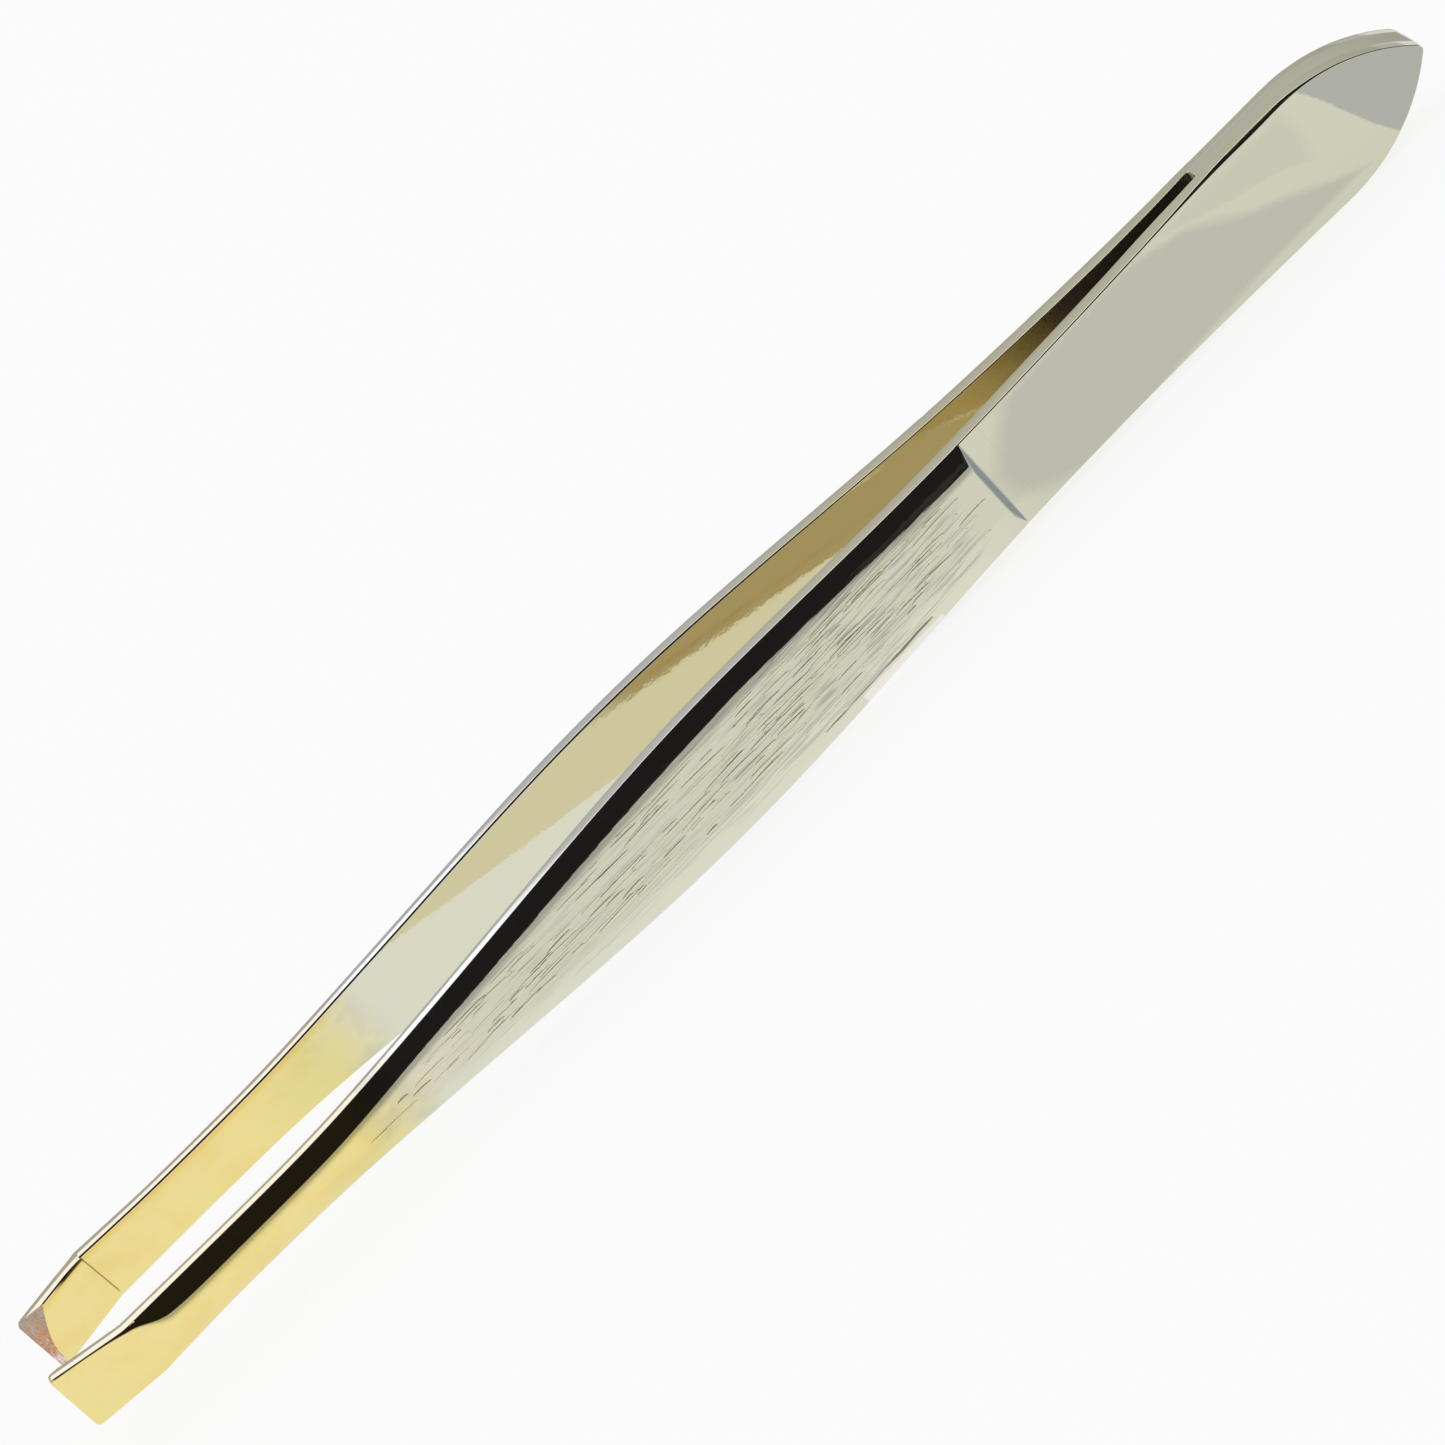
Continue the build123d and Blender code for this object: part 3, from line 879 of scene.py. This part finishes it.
def grip_patch(side):
    """The part of a panel that is hatched, as a mesh."""
    vertices, crowding = [], []
    stations = np.arange(CROWDING[0][0], CROWDING[-1][0] + 0.1, PATCH_STEP)
    for x in stations:
        reach, top, _ = half_section(x)[-1]
        half_panel = half_width_at(x) - reach
        for place in PATCH_PLACES:
            z = half_panel * place
            y = top + panel_share(x) * panel_lift(half_panel, place)
            vertices.append((x * MM, side * y * MM, (z + MIDDLE_Z) * MM))
            crowding.append(float(np.interp(x, *zip(*CROWDING))))
    wide = len(PATCH_PLACES)
    faces = []
    for i in range(len(stations) - 1):
        for k in range(wide - 1):
            corners = [i * wide + k, i * wide + k + 1, (i + 1) * wide + k + 1, (i + 1) * wide + k]
            faces.append(corners if side > 0 else corners[::-1])
    mesh = bpy.data.meshes.new("grip_patch")
    mesh.from_pydata(vertices, [], faces)
    mesh.attributes.new("crowding", "FLOAT", "POINT").data.foreach_set("value", crowding)
    return mesh


def grip_ridges(name, side, seed, body):
    holder = new_object(name + "_patch", grip_patch(side))
    modifier = holder.modifiers.new("hatching", "NODES")
    modifier.node_group = scatter
    values = {"Ridges per mm2": RIDGES_PER_MM2, "Shortest": SHORTEST_RIDGE, "Longest": LONGEST_RIDGE,
              "Turn": RIDGE_TURN, "Seed": seed, "Finish": plating}
    for item in scatter.interface.items_tree:
        if item.in_out == "INPUT" and item.name in values:
            modifier[item.identifier] = values[item.name]
    evaluated = holder.evaluated_get(bpy.context.evaluated_depsgraph_get())
    mesh = bpy.data.meshes.new_from_object(evaluated)
    mesh.name = name
    mesh.materials.pop(index=0)     # the empty slot of the unfinished spindle
    bpy.data.objects.remove(holder)
    made = new_object(name, mesh)
    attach(made, body)
    return made


for name, side, seed, body in (("front_grip_ridges", -1, 7, "front_arm"),
                               ("back_grip_ridges", 1, 12, "back_arm")):
    ridges = grip_ridges(name, side, seed, body)
    print(name, "faces", len(ridges.data.polygons), "materials", [m.name for m in ridges.data.materials])

# %% [markdown]
# ## Camera
# The camera looks down at the tongs from 30 degrees, from straight in front, and is rolled so that
# the tongs lie across the picture from corner to corner.

# %% Camera
CAMERA_DISTANCE = 0.3197
CAMERA_ELEVATION = math.radians(30.0)
CAMERA_AZIMUTH = math.radians(0.08)
CAMERA_ROLL = math.radians(44.55)
TARGET_X = -1.0                 # it looks at a place close to the middle of the tongs
TARGET_LOWER = 0.19
LENS = 151.43                   # focal length and sensor width in mm
SENSOR = 36.0
CLIP_START = 0.01
target = Vector((TARGET_X * MM, 0.0, (MIDDLE_Z - TARGET_LOWER) * MM))
back = Vector((math.sin(CAMERA_AZIMUTH) * math.cos(CAMERA_ELEVATION),
               -math.cos(CAMERA_AZIMUTH) * math.cos(CAMERA_ELEVATION), math.sin(CAMERA_ELEVATION)))
level = Vector((math.cos(CAMERA_AZIMUTH), math.sin(CAMERA_AZIMUTH), 0))
upright = back.cross(level)
right = level * math.cos(CAMERA_ROLL) - upright * math.sin(CAMERA_ROLL)
up = level * math.sin(CAMERA_ROLL) + upright * math.cos(CAMERA_ROLL)
lens = bpy.data.cameras.new("camera")
lens.lens = LENS
lens.sensor_width = SENSOR
lens.clip_start = CLIP_START
camera = new_object("camera", lens)
camera.rotation_euler = Matrix((right, up, back)).transposed().to_euler()
camera.location = target + back * CAMERA_DISTANCE
bpy.context.scene.camera = camera
bpy.context.scene.view_settings.view_transform = "Standard"
print("camera at", [round(v, 3) for v in camera.location])

# %% [markdown]
# ## Floor, light and what the metal mirrors
# Bright metal has hardly any colour of its own to show: it shows the room. On a white table under
# soft light the faces that look at the table go pale, and the faces that look back at the dark
# camera side go black, which is what draws the long bevels. So the room is a white floor, a soft
# sky that is grey at the sides and bright overhead, and two dark cards on the camera's side.

# %% Surfaces and cards of the room
def plain_surface(name, code):
    material, _, shader = new_material(name)
    fill(shader, {"Base Color": colour(code), "Roughness": 1.0, "Specular IOR Level": 0.0})
    return material


def lit_surface(name, radiance, axis="Y", clear_at=None, full_at=None, shape=None):
    """A surface that glows evenly, or fades in along an axis between two places in mm.

    With the shape "soft edge" it glows where it has "cover", with "one side" also only on its front.
    """
    material, tree, shader = new_material(name)
    tree.nodes.remove(shader)
    light = add(tree, "ShaderNodeEmission", {"Color": (*radiance, 1.0), "Strength": 1.0})
    surface, share = light, None
    if shape:
        share = add(tree, "ShaderNodeAttribute", attribute_name="cover").outputs["Fac"]
    if shape == "one side":
        turned = add(tree, "ShaderNodeNewGeometry")
        front = add(tree, "ShaderNodeMath", {0: 1.0, 1: turned.outputs["Backfacing"]}, operation="SUBTRACT")
        share = add(tree, "ShaderNodeMath", {0: front, 1: share}, operation="MULTIPLY")
    if clear_at is not None:
        share = add(tree, "ShaderNodeMapRange", {"Value": object_axes(tree).outputs[axis],
                                                 "From Min": clear_at * MM, "From Max": full_at * MM},
                    interpolation_type="SMOOTHSTEP")
    if share is not None:
        nothing = add(tree, "ShaderNodeBsdfTransparent")
        surface = add(tree, "ShaderNodeMixShader", {0: share, 1: nothing, 2: light})
    fill(tree.nodes["Material Output"], {"Surface": surface})
    return material


def card(name, corners, material, faces=None, solid_part=1.0, cover=None):
    """A card for the metal to mirror, which the camera doesn't see. Corners are in mm.

    With a solid part below 1 its edge is soft: "cover" is 1 on the inner part and 0 at the rim.
    """
    corners = [Vector(corner) for corner in corners]
    count = len(corners)
    faces = faces or [range(count)]
    cover = cover or [1.0] * count
    if solid_part < 1:
        middle = sum(corners, Vector()) / count
        corners += [middle.lerp(corner, solid_part) for corner in corners]
        faces = [range(count, 2 * count)]
        faces += [(i, (i + 1) % count, (i + 1) % count + count, i + count) for i in range(count)]
        cover = [0.0] * count + [1.0] * count
    mesh = bpy.data.meshes.new(name)
    mesh.from_pydata([corner * MM for corner in corners], [], faces)
    mesh.attributes.new("cover", "FLOAT", "POINT").data.foreach_set("value", cover)
    mesh.materials.append(material)
    made = new_object(name, mesh)
    made.visible_camera = made.visible_diffuse = made.visible_shadow = False
    return made


# %% Floor
FLOOR_HALF = 2000.0
TABLE_GLOW = 0.81               # light that comes through the table, added to what falls on it
TABLE_TINT_HEAD = "#d6dee5"     # the metal mirrors it a little dimmer at the head than at the jaws
TABLE_TINT_JAWS = "#f2f2fa"
TABLE_TINT_X = (-18, -34)       # where one turns into the other
paper = plain_surface("backlit_paper", "#898989")
tree = paper.node_tree
rays = add(tree, "ShaderNodeLightPath").outputs
seen = add(tree, "ShaderNodeMath", {0: rays["Is Camera Ray"], 1: rays["Is Glossy Ray"]}, operation="MAXIMUM")
glow = add(tree, "ShaderNodeMath", {0: seen, 1: TABLE_GLOW}, operation="MULTIPLY")
at_jaws = add(tree, "ShaderNodeMapRange", {"Value": object_axes(tree).outputs["X"],
                                           "From Min": TABLE_TINT_X[0] * MM,
                                           "From Max": TABLE_TINT_X[1] * MM},
              interpolation_type="SMOOTHSTEP")
mirrored = add(tree, "ShaderNodeMix", {"Factor": at_jaws, 6: colour(TABLE_TINT_HEAD),
                                       7: colour(TABLE_TINT_JAWS)}, data_type="RGBA")
tint = add(tree, "ShaderNodeMix", {"Factor": rays["Is Glossy Ray"], 6: (1, 1, 1, 1), 7: mirrored},
           data_type="RGBA")
fill(tree.nodes["Principled BSDF"], {"Emission Color": tint, "Emission Strength": glow})
corners = [(x * FLOOR_HALF, y * FLOOR_HALF, 0) for x, y in ((-1, -1), (1, -1), (1, 1), (-1, 1))]
floor = card("floor", corners, paper)
floor.visible_camera = floor.visible_diffuse = floor.visible_shadow = True
print("floor", FLOOR_HALF * 2, "mm wide")

# %% Sky
SKY = ((0, 0.38), (20, 0.45), (30, 0.49), (50, 0.52), (62, 0.80), (75, 1.10))    # elevation, strength
COOL_BELOW = 50                 # its lower part is slightly cool, with this share of red
COOL_RED = 0.95
STOP_SCALE, STOP_SHIFT = 0.999, 0.0005  # keep the stops off 0 and 1, where the ramp has its own
world = bpy.data.worlds.new("soft_room")
bpy.context.scene.world = world
world.use_nodes = True
tree = world.node_tree
direction = add(tree, "ShaderNodeTexCoord")
height = add(tree, "ShaderNodeSeparateXYZ", {"Vector": direction.outputs["Generated"]})
sky = add(tree, "ShaderNodeValToRGB", {"Fac": height.outputs["Z"]})
stops = []
for elevation, strength in SKY:
    red = strength * (COOL_RED if elevation < COOL_BELOW else 1)
    place = math.sin(math.radians(elevation)) * STOP_SCALE + STOP_SHIFT
    stops.append((place, (red, strength, strength, 1)))
set_stops(sky.color_ramp, stops)
fill(tree.nodes["Background"], {"Color": sky})
print("sky stops", len(sky.color_ramp.elements))

# %% [markdown]
# The black card stands on the camera's side, over a dark grey one and the grey zone at the
# horizon. A window is behind the jaws: the long edges turn slightly towards it there, and go
# white. Beside the head there is only a low pale blue strip. The table in front fades to grey with
# distance, and close to the arms it is a little cooler than elsewhere. The slope at the shoulder
# mirrors a small card of its own. That card stands edge-on to what the flat neck mirrors, so the
# neck doesn't show it.

# %% Dark cards, windows and the far part of the table
CARD_DISTANCE = 750
CARD_SPAN = (-550, 1000)        # the dark cards reach further past the head
for name, code, elevations in (("black_card", "#46434a", (13, 64)), ("dark_grey_card", "#5b575d", (5, 13))):
    edges = []
    for elevation in elevations:
        angle = math.radians(elevation)
        edges.append((-CARD_DISTANCE * math.cos(angle), CARD_DISTANCE * math.sin(angle)))
    corners = [(x, y, z) for (y, z), ends in zip(edges, (CARD_SPAN, CARD_SPAN[::-1])) for x in ends]
    card(name, corners, plain_surface(name, code))
    print(name, "from", [round(v) for v in edges[0]], "to", [round(v) for v in edges[1]], "mm in y and z")
card("jaw_window", [(-22, 100, 63), (-260, 100, 63), (-260, 100, 220), (-22, 100, 220)],
     lit_surface("jaw_window", (1.08, 1.12, 1.24), "X", -24, -40))
card("blue_strip", [(60, 150, 0), (190, 150, 0), (190, 150, 26), (60, 150, 26)],
     lit_surface("blue_strip", (0.46, 0.49, 0.53)))
card("shoulder_card", [(19.2, -2.4, 0.02), (19.46, -3.6, 0.02), (19.46, -3.6, 7), (19.2, -2.4, 7)],
     lit_surface("shoulder_card", (0.30, 0.38, 0.62)))
card("far_table", [(-400, -14, 0.05), (400, -14, 0.05), (400, -500, 0.05), (-400, -500, 0.05)],
     lit_surface("far_table", (0.42, 0.44, 0.47), "Y", -14, -27))
card("near_table", [(-35, -9, 0.012), (20, -7, 0.012), (20, 6.5, 0.012), (-35, 7.5, 0.012)],
     lit_surface("near_table", (0.77, 0.82, 0.88), shape="soft edge"), solid_part=0.78)

# %% [markdown]
# The flat face of the head is a plane mirror, so it shows the shapes of what lies on the table in
# front of it. Grey and pale slips of paper lie there. Their corners are given on the head's own
# face, and the law of reflection puts them on the table: the ray from the camera's mirror image
# through a point of the face goes on to the table. A white slip lies close under the grip, where
# its lower bevel mirrors it, and beside it a dark strip of painted shade along the foot of the strip.

# %% Slips of paper beside the tongs
def table_spot(x, z, lift):
    """Where a point of the head's face mirrors the table. z counts from the strip's middle."""
    eye = camera.location / MM
    height = MIDDLE_Z + z
    further = height / (eye.z - height)
    return x + (x - eye.x) * further, -HEAD_OUTER + (eye.y + HEAD_OUTER) * further, lift


# name, radiance, solid part, and corners as x and height over the strip's middle
SLIPS = (
    ("neck_slip", (0.56, 0.60, 0.68), 0.87,
     ((22.0, 3.6), (32.0, 3.5), (35.6, 2.4), (37.0, 1.3), (38.2, 0.2), (40.1, -0.8), (42.3, -2.0),
      (44.4, -2.95), (40.0, -3.05), (30.0, -3.1), (22.2, -3.4), (19.6, -2.3), (17.9, -1.0), (18.1, 0.6),
      (19.8, 2.0))),
    ("middle_slip", (0.64, 0.69, 0.73), 0.72,
     ((33.0, 3.4), (42.4, 3.4), (42.7, 1.5), (42.1, -0.6), (40.5, 0.3), (37.9, 1.2), (36.8, 1.7))),
    ("tip_slip", (0.47, 0.52, 0.62), 0.95,
     ((43.2, 3.6), (43.9, 2.25), (45.35, -1.2), (46.2, -2.75), (46.6, -3.5), (54.0, -3.5), (54.0, 3.9),
      (42.0, 3.9))),
)
for number, (name, radiance, solid_part, corners) in enumerate(SLIPS):
    spots = [table_spot(x, z, 0.02 + 0.01 * number) for x, z in corners]
    card(name, spots, lit_surface(name, radiance, shape="soft edge"), solid_part=solid_part)
    print(name, [tuple(round(v, 1) for v in spot) for spot in spots[:3]])
for name, radiance, lift, corners in (
        ("white_slip", (0.92, 0.95, 1.18), 0.04, ((5.3, -3.87), (11.3, -3.22), (11.3, -2.8), (5.3, -2.9))),
        # the dark one is painted shade along the foot of the front strip
        ("grip_foot_shade", (0.26, 0.25, 0.23), 0.05,
         ((2.6, -4.42), (3.4, -4.62), (10.9, -3.66), (10.9, -3.54), (2.6, -4.22)))):
    card(name, [(x, y, lift) for x, y in corners], lit_surface(name, radiance))

# %% [markdown]
# The inner faces mirror each other several times before the view reaches the table between them.
# Under the real tongs the corners where the strips stand are dim, so from the third mirroring on
# the metal looks brown. Two low ribbons stand for those dim corners, and each one shows on the
# side of its own strip only. Two slips on the table carry the dim corners on under the strips.
# All of them fade in along the strip.

# %% Ribbons and slips at the feet of the strips
DIM_CORNER = (0.50, 0.485, 0.45)
BROWN_CORNER = (0.45, 0.40, 0.28)


def foot_band(name, side, radiance, stretch, form, edges):
    """A band along a strip. Each edge has a distance from the inner face and a height."""
    shape, step, fade = form
    stations = np.arange(stretch[0], stretch[1] + 0.1, step)
    corners = [(x, side * (inner_face(x) - gap), height) for x in stations for gap, height in edges]
    quads = [(2 * i, 2 * i + 1, 2 * i + 3, 2 * i + 2)[::side] for i in range(len(stations) - 1)]
    shown = [min(1.0, (x - stretch[0]) / fade) for x in stations for _ in edges]
    card(name, corners, lit_surface(name, radiance, shape=shape), faces=quads, cover=shown)


STANDING = ("one side", 1.0, 3.0)        # shape, step between stations, and length of the fading
LYING = ("soft edge", 1.5, 4.5)
for name, side, radiance, stretch, form, edges in (
        ("back_foot_ribbon", 1, DIM_CORNER, (-9.5, 26.0), STANDING, ((0.3, 0.03), (0.3, 2.1))),
        ("front_foot_ribbon", -1, DIM_CORNER, (10.5, 26.0), STANDING, ((0.3, 0.03), (0.3, 2.1))),
        ("back_foot_slip", 1, BROWN_CORNER, (-10.0, 20.5), LYING, ((0.55, 0.03), (-1.0, 0.03))),
        ("front_foot_slip", -1, DIM_CORNER, (7.0, 26.5), LYING, ((0.5, 0.06), (-0.8, 0.06)))):
    foot_band(name, side, radiance, stretch, form, edges)
    print(name, "from x", stretch[0], "to", stretch[1])
